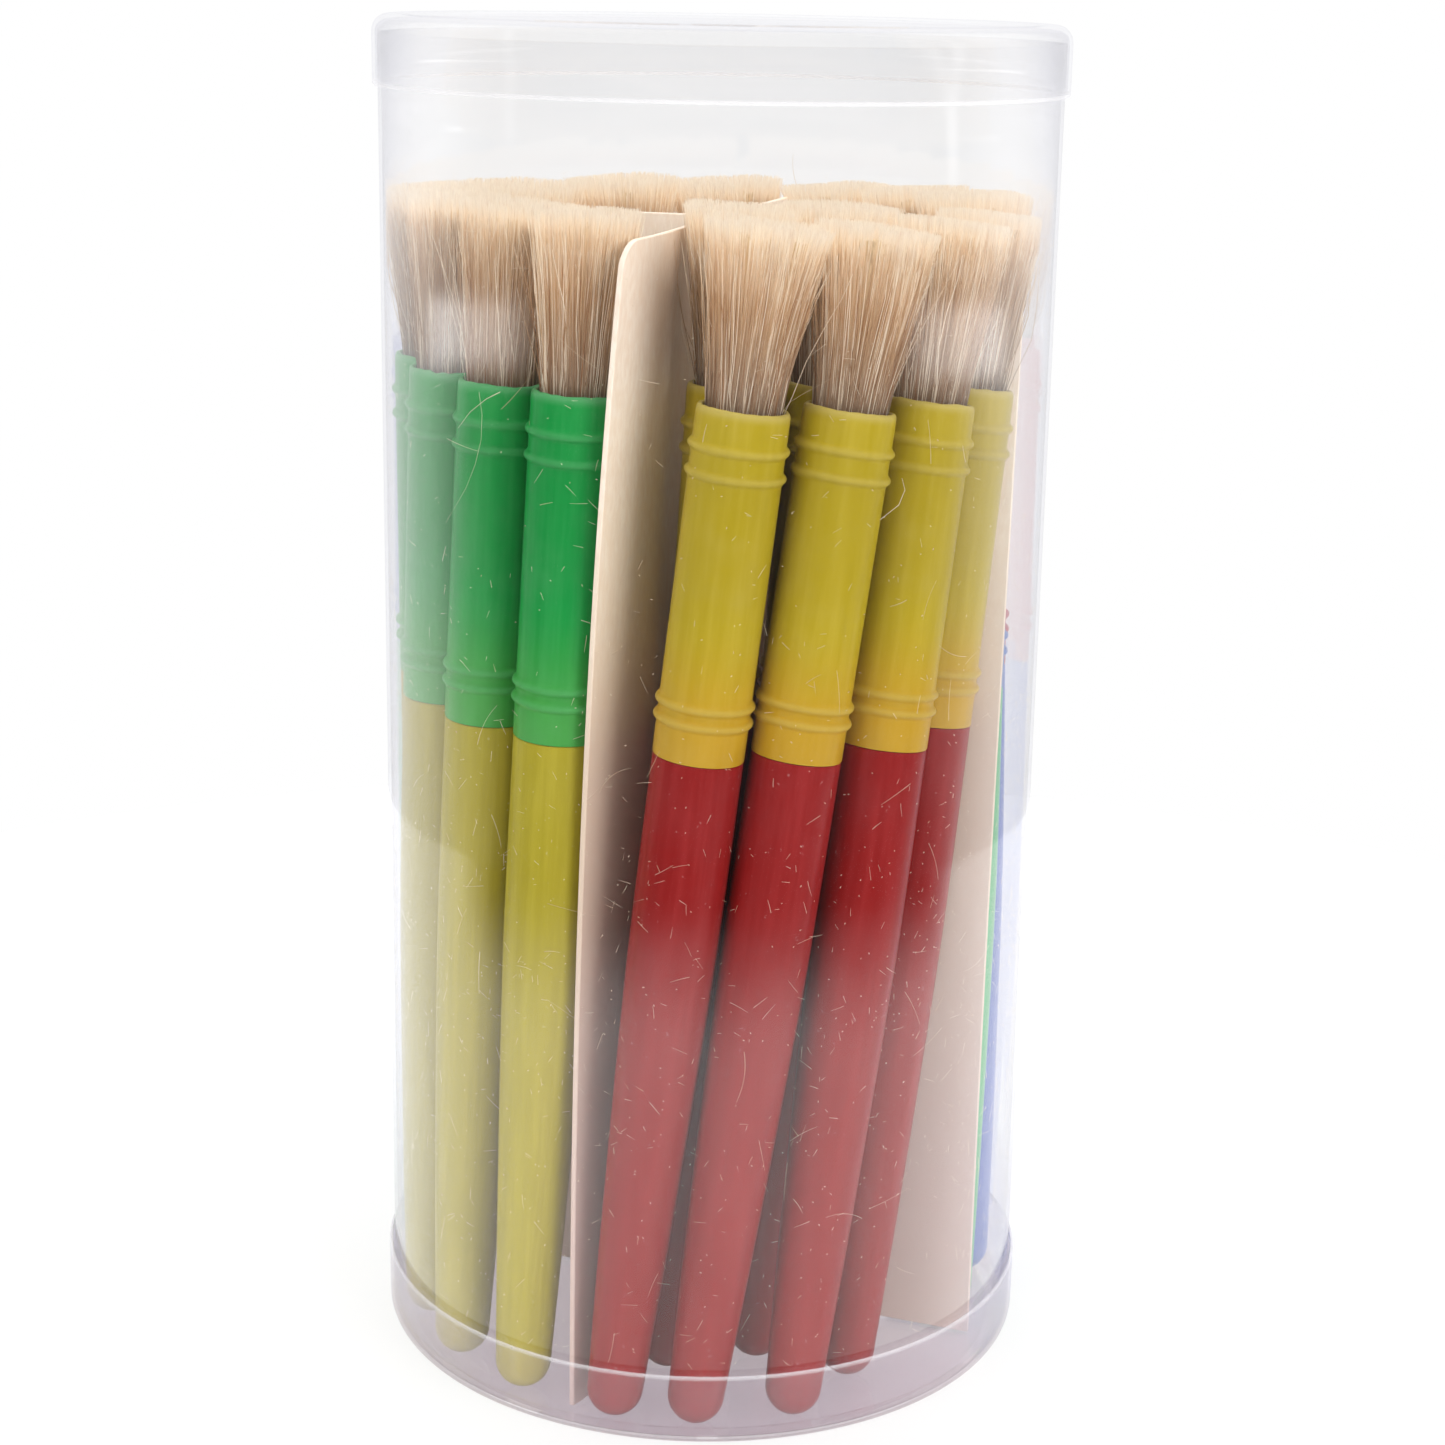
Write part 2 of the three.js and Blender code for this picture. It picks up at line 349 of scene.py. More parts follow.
def core_material(name):
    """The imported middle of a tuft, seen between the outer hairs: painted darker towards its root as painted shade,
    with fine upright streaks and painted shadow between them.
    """
    g = Nodes(name)
    obj = g.place()
    sep = g.n("SeparateXYZ")
    g.link(obj, sep.inputs[0])
    streak = g.noise(g.place((1, 1, 0.03)), 2600, 3, 0.7)
    fine = g.noise(g.place((1, 1, 0.05)), 5200, 2, 0.6)
    up = g.step(sep.outputs[2], 0.149, 0.1775)
    # painted shade: the core is painted darker low down, where the tuft is deepest
    base = g.ramp(up, [(0.0, srgb(128, 102, 78)), (0.5, srgb(170, 134, 98)), (1.0, srgb(222, 196, 160))])
    c = g.mix(g.math("MULTIPLY", g.step(streak, 0.46, 0.70), 0.45), base, srgb(112, 78, 50))
    c = g.mix(g.math("MULTIPLY", g.step(fine, 0.52, 0.72), 0.35), c, srgb(232, 212, 180))
    p = g.n("BsdfPrincipled")
    g.put(p.inputs["Base Color"], c)
    p.inputs["Roughness"].default_value = 0.8
    g.link(g.bump(g.math("ADD", streak, fine), 0.8, 0.0002), p.inputs["Normal"])
    g.link(p.outputs[0], g.out.inputs[0])
    return g.m


def card_material(name):
    """Uncoated board: fine fibre and a little warmer in patches, painted darker towards the bottom as painted shade."""
    g = Nodes(name)
    obj = g.coords()
    fibre = g.noise(g.coords((1, 1, 0.35)), 1400, 4, 0.65)
    patch = g.noise(obj, 22, 3, 0.55)
    sep = g.n("SeparateXYZ")
    g.link(obj, sep.inputs[0])
    c = g.mix(g.step(fibre, 0.35, 0.7), srgb(246, 228, 208), srgb(254, 242, 226))
    c = g.mix(g.math("MULTIPLY", g.step(patch, 0.35, 0.75), 0.5), c, srgb(238, 214, 194))
    # painted shade: the board is painted darker below 150 mm, and darker and pinker still towards the bottom
    c = g.mix(g.math("MULTIPLY", g.step(sep.outputs[2], 0.150, 0.095), 0.85), c, srgb(216, 194, 172))
    low = g.step(sep.outputs[2], 0.10, 0.02)
    c = g.mix(g.math("MULTIPLY", low, 0.75), c, srgb(206, 180, 176))
    p = g.n("BsdfPrincipled")
    g.put(p.inputs["Base Color"], c)
    p.inputs["Roughness"].default_value = 0.72
    p.inputs["Specular IOR Level"].default_value = 0.35
    g.link(g.bump(fibre, 0.35, 0.00005), p.inputs["Normal"])
    g.link(p.outputs[0], g.out.inputs[0])
    return g.m


def clear_material(name, tint, edge, veil, graze, rim=None, low=None, facing_gloss=0.037):
    """Thin clear sheet: see-through, a little darker and bluer where it turns away, glossy, with faint scuffs and dust."""
    g = Nodes(name)
    obj = g.coords()
    facing = g.n("LayerWeight")
    facing.inputs["Blend"].default_value = 0.5
    f = facing.outputs["Facing"]
    see = g.n("BsdfTransparent")
    colour = g.mix(g.math("POWER", f, 4.0), tint, edge)
    if low is not None:
        # the flat floor of the cap is tinted darker and lavender, as painted shade and painted reflection of the
        # brushes standing on it
        sep = g.n("SeparateXYZ")
        g.link(obj, sep.inputs[0])
        colour = g.mix(g.step(sep.outputs[2], 0.0022, 0.0010), colour, low)
    g.put(see.inputs[0], colour)
    # this white diffuse shows the dust and scuffs, and also the painted highlight along the rim
    dust = g.n("BsdfDiffuse")
    dust.inputs["Color"].default_value = (0.93, 0.92, 0.94, 1)
    scuff = g.noise(g.coords((1, 1, 0.10)), 420, 3, 0.6)
    cloud = g.noise(obj, 30, 3, 0.6)
    dust_and_rim_highlight = g.math("MULTIPLY", g.step(cloud, 0.30, 0.80), veil)
    dust_and_rim_highlight = g.math("MULTIPLY_ADD", g.step(scuff, 0.64, 0.74), veil * 1.6, dust_and_rim_highlight, clamp=True)
    if rim is not None:
        # the trimmed rim is whiter where the light runs along the sheet and comes out
        sep = g.n("SeparateXYZ")
        g.link(obj, sep.inputs[0])
        off = g.math("ABSOLUTE", g.math("SUBTRACT", sep.outputs[2], rim))
        dust_and_rim_highlight = g.math("MULTIPLY_ADD", g.step(off, 0.00045, 0.00015), 0.24, dust_and_rim_highlight, clamp=True)
    body = g.n("MixShader")
    g.put(body.inputs[0], dust_and_rim_highlight)
    g.link(see.outputs[0], body.inputs[1])
    g.link(dust.outputs[0], body.inputs[2])
    gloss = g.n("BsdfGlossy")
    gloss.inputs["Color"].default_value = (1, 1, 1, 1)
    gloss.inputs["Roughness"].default_value = 0.05
    g.link(g.bump(cloud, 0.10, 0.0004), gloss.inputs["Normal"])
    top = g.n("MixShader")
    g.put(top.inputs[0], g.math("MULTIPLY_ADD", g.math("POWER", f, 3.2), graze, facing_gloss))
    g.link(body.outputs[0], top.inputs[1])
    g.link(gloss.outputs[0], top.inputs[2])
    # lamps and bounced light pass straight through
    path = g.n("LightPath")
    plain = g.n("BsdfTransparent")
    plain.inputs[0].default_value = (0.985, 0.985, 0.985, 1)
    last = g.n("MixShader")
    g.put(last.inputs[0], g.math("MAXIMUM", path.outputs["Is Shadow Ray"], path.outputs["Is Diffuse Ray"]))
    g.link(top.outputs[0], last.inputs[1])
    g.link(plain.outputs[0], last.inputs[2])
    g.link(last.outputs[0], g.out.inputs[0])
    return g.m


YELLOW_F, GREEN_F, RED_F, BLUE_F = srgb(178, 156, 24), srgb(12, 146, 62), srgb(168, 24, 34), srgb(38, 72, 168)
RED_H, YELLOW_H, BLUE_H, GREEN_H = srgb(142, 12, 11), srgb(170, 156, 38), srgb(48, 80, 168), srgb(28, 158, 84)
M = {
    "ferrule_yellow": ferrule_material("ferrule_yellow", YELLOW_F, srgb(214, 120, 30)),
    "ferrule_green": ferrule_material("ferrule_green", GREEN_F, srgb(120, 180, 70)),
    "ferrule_red": ferrule_material("ferrule_red", RED_F, srgb(120, 50, 110)),
    "ferrule_blue": ferrule_material("ferrule_blue", BLUE_F, srgb(40, 130, 140)),
    "handle_red": handle_material("handle_red", RED_H),
    "handle_yellow": handle_material("handle_yellow", YELLOW_H),
    "handle_blue": handle_material("handle_blue", BLUE_H),
    "handle_green": handle_material("handle_green", GREEN_H),
    "bristle": bristle_material("bristle"),
    "core": core_material("bristle_core"),
    "card": card_material("card"),
    "clear_plastic": clear_material("clear_plastic", (0.996, 0.996, 0.998), (0.88, 0.88, 0.92), 0.004, 0.66),
    # the base cap's last colour is the painted shade and painted reflection on its flat floor
    "clear_base": clear_material("clear_base", (0.965, 0.950, 0.970), (0.84, 0.82, 0.90), 0.016, 0.55, 0.0113, (0.76, 0.71, 0.74)),
    "clear_cap": clear_material("clear_cap", (0.998, 0.998, 0.999), (0.93, 0.93, 0.96), 0.006, 0.50, 0.1934, None, 0.018),
}
SLOT_OF = {s["node"]: s["material_slot"] for s in frame["record"]["subparts"]}

# ---------------------------------------------------------------------------------------------------
# brushes
# ---------------------------------------------------------------------------------------------------
HANDLE_SHAPE = [(4.2, 4.2), (25, 5.05), (47, 5.75), (60, 6.12), (72, 6.38), (86, 6.45), (102.7, 6.45)]
FERRULE_START, FERRULE_END, RIBS = 103.0, 152.4, (108.5, 110.9, 143.2, 146.9)


def handle_profile():
    pts = [(0.0, 0.0)]
    pts += [(4.2 * math.sin(math.radians(a)), 4.2 - 4.2 * math.cos(math.radians(a))) for a in (12, 24, 36, 48, 60, 72, 82)]
    s = np.array([p[0] for p in HANDLE_SHAPE])
    r = np.array([p[1] for p in HANDLE_SHAPE])
    for v in np.linspace(4.4, 102.2, 36):
        pts.append((float(np.interp(v, s, r)), float(v)))
    pts += [(6.44, 102.6), (6.34, 102.88), (5.3, 102.92), (5.2, 103.1), (5.2, 119.4), (4.8, 119.8), (0.0, 119.8)]
    return pts


def ferrule_profile():
    """Radius and height of the ferrule's section, from inside its lower edge, up the outside and over the lip."""

    def rib(s):
        steps = (-1.05, -0.9, -0.75, -0.6, -0.45, -0.3, -0.15, 0, 0.15, 0.3, 0.45, 0.6, 0.75, 0.9, 1.05)
        return [(6.5 + 0.56 * math.exp(-((abs(d) / 0.62) ** 2.6)), s + d) for d in steps]

    lo, hi = FERRULE_START, FERRULE_END
    pts = [(5.55, lo + 0.1), (5.62, lo - 0.02), (6.42, lo - 0.02), (6.5, lo + 0.12)]
    last = lo + 0.12
    for s in RIBS:
        n = max(1, int((s - 1.05 - last) / 3.5))
        for v in np.linspace(last, s - 1.05, n + 1)[1:-1]:
            pts.append((6.5, float(v)))
        pts += rib(s)
        last = s + 1.05
    pts += [(6.5, 149.0), (6.5, 151.0), (6.48, hi - 0.75), (6.40, hi - 0.35), (6.22, hi - 0.10), (5.98, hi), (5.72, hi - 0.06), (5.58, hi - 0.3), (5.5, hi - 0.9)]
    pts += [(5.55, v) for v in (142, 132, 122, 112)]
    return pts


def ferrule_mesh(name, seed):
    """The ferrule with the small flash and unevenness that its trimmed lip has."""
    g = np.random.default_rng(seed)
    co = FERRULE_CO.copy()
    a = np.arctan2(co[:, 1], co[:, 0])
    wave = sum(g.normal() * w * np.sin(k * a + g.uniform(0, 6.28)) for k, w in ((2, 0.05), (3, 0.05), (5, 0.05), (9, 0.045), (14, 0.04), (19, 0.035)))
    share = np.clip((co[:, 2] / MM - (FERRULE_END - 1.2)) / 1.2, 0, 1)
    co[:, 2] += wave * share * MM
    ribs = sum(np.exp(-(((co[:, 2] / MM - s) / 1.0) ** 2)) for s in RIBS)
    sag = sum(g.normal() * w * np.sin(k * a + g.uniform(0, 6.28)) for k, w in ((1, 0.06), (2, 0.07), (4, 0.03)))
    co[:, 2] += sag * ribs * MM
    return mesh_from(name, co, FERRULE_F, sharp=50)


HANDLE_CO, HANDLE_F = lathe(handle_profile(), 48)
FERRULE_CO, FERRULE_F = lathe(ferrule_profile(), 64)

ROOT_Z, TOP_Z = 150.6, 178.0
CARDS = {
    "divider_a": dict(minus=(-113, 8.6, 2.4, -2), plus=(66.7, 7.2, 1, 0), slot=(-1, 88.0)),
    "divider_b": dict(minus=(160.1, 7.2, 1, 0), plus=(-19.9, 12.5, 2.85, 0), slot=(87.4, 999)),
}
CARD_AT = np.array([0.2, -0.3])


def wing_angle(wing, z, reach):
    """The direction of one half of a card from its centre line, in radians, at height z and distance reach."""
    start, turn, late, curl = wing
    out = np.maximum(0, reach - 25) / 20
    return np.radians(start + turn * (np.maximum(0, z) / 174.0) ** late + curl * out * out)


def confine(points, axis_point, lift):
    """World points of hairs, in millimetres, kept inside the tube, at rest and lifted, and on their own side of the cards."""
    p = points.copy()
    for _ in range(2):
        for spec in CARDS.values():
            for wing in (spec["minus"], spec["plus"]):
                q = p[..., :2] - CARD_AT
                a0 = wing_angle(wing, p[..., 2], 0)
                a = wing_angle(wing, p[..., 2], q[..., 0] * np.cos(a0) + q[..., 1] * np.sin(a0))
                u = np.stack([np.cos(a), np.sin(a)], -1)
                reach = (q * u).sum(-1)
                off = u[..., 0] * q[..., 1] - u[..., 1] * q[..., 0]
                c = axis_point[:2] - CARD_AT
                b = wing_angle(wing, axis_point[2], np.hypot(*c))
                own = np.sign(math.cos(b) * c[1] - math.sin(b) * c[0])
                if math.cos(b) * c[0] + math.sin(b) * c[1] < 0:
                    continue
                short = np.where((reach > 0) & (reach < 46) & (p[..., 2] < 176), np.maximum(0, 0.62 - off * own), 0) * own
                p[..., 0] += -u[..., 1] * short
                p[..., 1] += u[..., 0] * short
        for x, y in ((0.0, 0.0), (lift[0], lift[1])):
            r = np.hypot(p[..., 0] + x, p[..., 1] + y)
            k = np.minimum(1, 49.12 / r)
            p[..., 0] = (p[..., 0] + x) * k - x
            p[..., 1] = (p[..., 1] + y) * k - y
    return p


def strands(n, seed, lean, to_world, r_root, r_top, top_z, strays=46):
    """Hairs of one tuft, in the brush's own frame: vertices, triangles, and each vertex's tone and place along its hair."""
    g = np.random.default_rng(seed)
    ts = np.array([0.0, 0.2, 0.42, 0.64, 0.84, 1.0])
    k = len(ts)
    rad = np.sqrt(g.uniform(0, 1, n))
    rim = g.uniform(0, 1, n) < 0.42
    rad = np.where(rim, 0.86 + 0.14 * g.uniform(0, 1, n), rad)
    ang = g.uniform(0, 2 * np.pi, n)
    # hairs gather into soft locks, which leave narrow dark gaps between them
    locks = g.uniform(0, 2 * np.pi, 15)
    near = locks[np.argmin(np.abs((ang[:, None] - locks[None] + np.pi) % (2 * np.pi) - np.pi), axis=1)]
    pull = ((near - ang + np.pi) % (2 * np.pi) - np.pi) * g.uniform(0.0, 0.30, n)
    root = np.stack([np.cos(ang), np.sin(ang)], 1) * (rad * r_root)[:, None]
    ang_t = ang + pull + 0.05 * g.normal(size=n)
    reach = np.clip(rad * (1 + 0.05 * g.normal(size=n)), 0, 1.06)
    tip = np.stack([np.cos(ang_t), np.sin(ang_t)], 1) * (reach * r_top)[:, None]
    tip += np.array(lean)[None]
    cut = top_z - 0.1 - np.abs(g.normal(size=n)) * 0.30 - 0.9 * np.maximum(0, rad - 0.75) * g.uniform(0, 3, n)
    cut -= (g.uniform(0, 1, n) < 0.14) * g.uniform(0.8, 5.5, n)
    cut -= 0.3 * (1 + np.sin(ang * 3 + g.uniform(0, 6.28))) * g.uniform(0.2, 0.9) * rad
    bend = g.normal(size=(n, 2)) * 0.20
    wave = g.normal(size=(n, 2)) * 0.07
    stray = np.zeros(n, bool)
    stray[:strays] = True
    out = np.stack([np.cos(ang), np.sin(ang)], 1)
    tip[stray] = out[stray] * (r_top + g.uniform(-1.2, 1.7, strays))[:, None] + g.normal(size=(strays, 2)) * 1.5
    bend[stray] *= 3.0
    wave[stray] *= 3.5
    root[stray] = out[stray] * (r_root * 0.98)
    cut[stray] -= g.uniform(0, 7, strays)
    rise = (ts**1.5)[None, :, None]
    xy = root[:, None] + (tip - root)[:, None] * rise + bend[:, None] * np.sin(np.pi * ts)[None, :, None] + wave[:, None] * np.sin(3 * np.pi * ts)[None, :, None]
    z = ROOT_Z + (cut - ROOT_Z)[:, None] * ts[None]
    centre = np.concatenate([xy, z[..., None]], 2)
    m = np.array(to_world)
    world = centre @ m[:3, :3].T + m[:3, 3] / MM
    world = confine(world, world[:, -1].mean(0), m[:3, 2] * 15.0)
    centre = (world - m[:3, 3] / MM) @ m[:3, :3]
    thick = g.uniform(0.048, 0.088, n)
    taper = np.array([1.0, 0.98, 0.93, 0.86, 0.74, 0.50])
    phase = g.uniform(0, 2 * np.pi, n)
    co = np.empty((n, k, 3, 3))
    for j in range(3):
        a = phase + j * 2 * np.pi / 3
        off = np.stack([np.cos(a), np.sin(a), np.zeros(n)], 1)
        co[:, :, j] = centre + off[:, None] * (thick[:, None] * taper[None])[..., None]
    v = co.reshape(-1, 3) * MM
    base = (np.arange(n) * k * 3)[:, None, None]
    tris = []
    for i in range(k - 1):
        for j in range(3):
            a, b = i * 3 + j, i * 3 + (j + 1) % 3
            c, d = a + 3, b + 3
            tris += [(a, b, d), (a, d, c)]
    tris += [(0, 2, 1), ((k - 1) * 3, (k - 1) * 3 + 1, (k - 1) * 3 + 2)]
    t = (np.array(tris)[None] + base).reshape(-1, 3)
    tone = np.repeat(g.uniform(0, 1, n), k * 3)
    along = np.tile(np.repeat(ts, 3), n)
    return v, t, tone, along


def tuft_core(seed, lean, r_top, top_z, r_root=4.9):
    """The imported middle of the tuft: a flaring fluted plug whose top sits below the cut ends."""
    g = np.random.default_rng(seed + 7)
    sides, rows = 60, 14
    ang = np.linspace(0, 2 * np.pi, sides, endpoint=False)
    flute = 0.10 * np.sin(ang * 13 + g.uniform(0, 6)) + 0.08 * np.sin(ang * 22 + g.uniform(0, 6)) + 0.05 * g.normal(size=sides)
    co, faces = [(0.0, 0.0, 120.4)], []
    levels = [(120.4, 5.0, 0), (149.6, 5.0, 0)]
    for t in np.linspace(0, 1, rows):
        levels.append((ROOT_Z + t * (top_z - 2.6 - ROOT_Z), r_root + (r_top - 1.6 - r_root) * t**1.5, t))
    for z, r, t in levels:
        rr = r + flute * (0.25 + t) * (1 if z > 150.0 else 0)
        for a, q in zip(ang, rr):
            co.append((q * math.cos(a) + lean[0] * t**2, q * math.sin(a) + lean[1] * t**2, z))
    co.append((lean[0], lean[1], top_z - 2.3))
    n = len(levels)
    for j in range(sides):
        k = (j + 1) % sides
        faces.append((0, 1 + k, 1 + j))
        for i in range(n - 1):
            a, b = 1 + i * sides + j, 1 + i * sides + k
            faces.append((a, b, b + sides, a + sides))
        faces.append((1 + (n - 1) * sides + j, 1 + (n - 1) * sides + k, len(co) - 1))
    return np.array(co) * MM, faces


def brush_matrix(name, axis):
    """The brush's own frame: its origin at the rounded end, +Z along the brush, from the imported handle."""
    axis = Vector(axis).normalized()
    vs = [v.co for v in frame["nodes"][name + "_handle"].data.vertices]
    foot = min(vs, key=lambda c: c.dot(axis))
    q = Vector((0, 0, 1)).rotation_difference(axis)
    return Matrix.Translation(foot) @ q.to_matrix().to_4x4()


AXES = {j["child"]: j["axis"] for j in frame["joints"]}
HAIRS = 2300
# how far each tuft has splayed at its cut end, and how short it is trimmed
SPLAY = {"brush_03": 8.0, "brush_04": 7.6, "brush_07": 7.6, "brush_08": 7.2, "brush_09": 7.3, "brush_05": 8.3, "brush_06": 8.5, "brush_10": 8.0, "brush_12": 7.9, "brush_13": 8.6, "brush_14": 8.9, "brush_15": 8.9, "brush_16": 9.0, "brush_17": 9.0, "brush_18": 8.4}
TRIM = {"brush_13": 1.0, "brush_14": 1.3, "brush_15": 1.4, "brush_16": 1.2, "brush_17": 1.4, "brush_18": 1.0, "brush_10": 0.6, "brush_12": 0.6}
BRUSHES = sorted(b for b in frame["bodies"] if b.startswith("brush_"))
for index, body in enumerate(BRUSHES):
    world = brush_matrix(body, AXES[body])
    turn = Matrix.Rotation(rng.uniform(0, 6.283), 4, "Z")
    local = world @ turn
    g = np.random.default_rng(900 + index)
    lean = g.normal(size=2) * 0.22

    handle = add(body + ".handle", mesh_from(body + "_h", HANDLE_CO, HANDLE_F, sharp=40), M[SLOT_OF[body + "_handle"]])
    ferrule = add(body + ".ferrule", ferrule_mesh(body + "_f", 700 + index), M[SLOT_OF[body + "_ferrule"]])
    splay, top_z = SPLAY.get(body, 8.45) + g.uniform(-0.12, 0.12), TOP_Z - TRIM.get(body, 0.0) - g.uniform(0, 0.25)
    v, t, tone, along = strands(HAIRS, 5000 + index, lean, local, 5.15, splay, top_z)
    tuft = add(body + ".tuft", tri_mesh(body + "_t", v, t), M["bristle"])
    tuft.visible_shadow = False
    attribute(tuft.data, "tone", tone)
    attribute(tuft.data, "along", along)
    cco, cf = tuft_core(5000 + index, lean, min(splay, 8.0), top_z)
    core = add(body + ".tuft_core", mesh_from(body + "_c", cco, cf), M["core"])
    for piece, node in ((handle, "_handle"), (ferrule, "_ferrule"), (tuft, "_bristles"), (core, "_bristles")):
        own = np.empty(len(piece.data.vertices) * 3, np.float32)
        piece.data.vertices.foreach_get("co", own)
        piece.data.attributes.new("place", "FLOAT_VECTOR", "POINT").data.foreach_set("vector", own)
        piece.data.transform(local)
        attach(piece, body)
        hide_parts(body + node)

# ---------------------------------------------------------------------------------------------------
# card dividers
# ---------------------------------------------------------------------------------------------------
def card_mesh(name, minus, plus, slot):
    W, H0, H1, R, THICK = 45.3, 1.3, 175.0, 4.0, 0.8
    half = [0.75, 3, 7, 12, 17, 22, 27, 32, 36, 39, 41.3, 42.2, 43.0, 43.7, 44.3, 44.8, 45.15, 45.3]
    xs = [-x for x in reversed(half)] + half
    zs = list(np.linspace(0, 1, 61))
    cut = (slot[0] - H0) / (H1 - H0) if slot[0] > 0 else None
    top = (slot[1] - H0) / (H1 - H0) if slot[0] < 0 else None
    zs = sorted(set(zs + [v for v in (cut, top) if v is not None]))

    def d(wing, z, reach):
        a = float(wing_angle(wing, z, reach))
        return np.array([math.cos(a), math.sin(a)])

    co, nrm = [], []
    for share in zs:
        for x in xs:
            drop = R - math.sqrt(max(R * R - max(0.0, R - (W - abs(x))) ** 2, 0))
            z = H0 + share * (H1 - drop - H0)
            ep, em = d(plus, z, abs(x)), -d(minus, z, abs(x))
            e = ep if x >= 0 else em
            t = min(1, max(0, 0.5 + x / 28))
            n = em * (1 - t) + ep * t
            n /= np.linalg.norm(n)
            p = CARD_AT + e * x
            co.append((p[0], p[1], z))
            nrm.append((-n[1], n[0], 0))
    co, nrm = np.array(co), np.array(nrm)
    nx, nz = len(xs), len(zs)
    middle = len(half) - 1
    keep = []
    for i in range(nz - 1):
        for j in range(nx - 1):
            zmid = 0.5 * (co[i * nx + middle][2] + co[(i + 1) * nx + middle][2])
            if j == middle and slot[0] < zmid < slot[1]:
                continue
            keep.append((i * nx + j, i * nx + j + 1, (i + 1) * nx + j + 1, (i + 1) * nx + j))
    n = len(co)
    faces = [tuple(reversed(f)) for f in keep] + [tuple(v + n for v in f) for f in keep]
    edges = {}
    for f in keep:
        for a, b in zip(f, f[1:] + f[:1]):
            edges[(a, b)] = 1
    for a, b in list(edges):
        if (b, a) not in edges:
            faces.append((a, b, b + n, a + n))
    both = np.concatenate([co - nrm * THICK / 2, co + nrm * THICK / 2]) * MM
    # the back sheet is listed first, so the rim joins them with its faces outwards
    me = mesh_from(name, both, [tuple(reversed(f)) for f in faces], sharp=35)
    used = np.zeros(len(both), bool)
    for f in faces:
        used[list(f)] = True
    if not used.all():
        import bmesh

        bm = bmesh.new()
        bm.from_mesh(me)
        bmesh.ops.delete(bm, geom=[v for v in bm.verts if not v.link_faces], context="VERTS")
        bmesh.ops.recalc_face_normals(bm, faces=bm.faces)
        bm.to_mesh(me)
        bm.free()
    return me


import bmesh

for name, spec in CARDS.items():
    o = add(name + ".board", card_mesh(name + "_m", **spec), M["card"])
    bm = bmesh.new()
    bm.from_mesh(o.data)
    bmesh.ops.recalc_face_normals(bm, faces=bm.faces)
    bm.to_mesh(o.data)
    bm.free()
    bevel = o.modifiers.new("edge", "BEVEL")
    bevel.width = 0.00016
    bevel.segments = 2
    bevel.limit_method = "ANGLE"
    bevel.angle_limit = math.radians(60)
    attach(o, "tub")
    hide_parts(name)

# ---------------------------------------------------------------------------------------------------
# tub, base cap and lid
# ---------------------------------------------------------------------------------------------------
SIDES = 192


def tub_piece(name, profile, body, node, material):
    co, f = lathe(profile, SIDES)
    o = add(name, mesh_from(name + "_m", co, f, sharp=50), material)
    bm = bmesh.new()
    bm.from_mesh(o.data)
    bmesh.ops.recalc_face_normals(bm, faces=bm.faces)
    bm.to_mesh(o.data)
    bm.free()
    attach(o, body)
    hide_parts(node)
    return o


tube = [(49.5, z) for z in np.linspace(2.75, 200.55, 12)] + [(49.6, 200.6), (49.9, 200.6)] + [(50.0, z) for z in np.linspace(200.5, 2.8, 12)] + [(49.9, 2.7), (49.6, 2.7)]
tub_piece("tub_tube.shell", [(float(r), float(z)) for r, z in reversed(tube)], "tub", "tub_tube", M["clear_plastic"])

cap = [(0, 0.35), (40, 0.35), (46.2, 0.32), (47.0, 0.0), (48.3, 0.0)]
cap += arc(48.3, 2.5, 2.5, -90, 0, 7)[1:]
cap += [(50.8, 6.0), (50.8, 10.9), (50.78, 11.35), (50.6, 11.5), (50.45, 11.5), (50.3, 11.3), (50.3, 6.0), (50.3, 2.6)]
cap += arc(48.5, 2.6, 1.8, 0, -90, 6)[1:]
cap += [(46.0, 0.85), (40, 0.88), (0, 0.88)]
tub_piece("tub_base_cap.shell", cap, "tub", "tub_base_cap", M["clear_base"])

lid = [(0, 202.35), (40, 202.35), (47.8, 202.4)]
lid += arc(48.5, 200.6, 1.8, 90, 0, 6)
lid += [(50.3, 199.0), (50.3, 193.5), (50.42, 193.2), (50.62, 193.2), (50.8, 193.45), (50.8, 199.0), (50.8, 200.6)]
lid += arc(48.3, 200.7, 2.5, 0, 90, 7)[1:]
lid += [(46.8, 203.2), (46.2, 202.95), (40, 202.9), (0, 202.9)]
tub_piece("tub_lid.shell", lid, "lid", "tub_lid", M["clear_cap"])


# ---------------------------------------------------------------------------------------------------
# shed hairs and flecks that cling to the inside of the tube
# ---------------------------------------------------------------------------------------------------
# the longest of them, as angle in degrees and height in millimetres along each
LONG = [
    [(-131.0, 153.58), (-130.34, 150.47), (-130.6, 146.98), (-132.03, 143.34), (-134.25, 139.84), (-137.13, 136.78), (-139.67, 134.3)],
    [(-79.33, 153.36), (-78.26, 154.69), (-76.22, 155.73), (-73.84, 156.76), (-70.93, 158.03)],
    [(-126.4, 154.0), (-129.43, 152.76), (-133.14, 150.6), (-136.17, 148.04)],
    [(-62.48, 138.06), (-59.01, 139.9), (-57.95, 141.91), (-58.61, 143.61)],
]


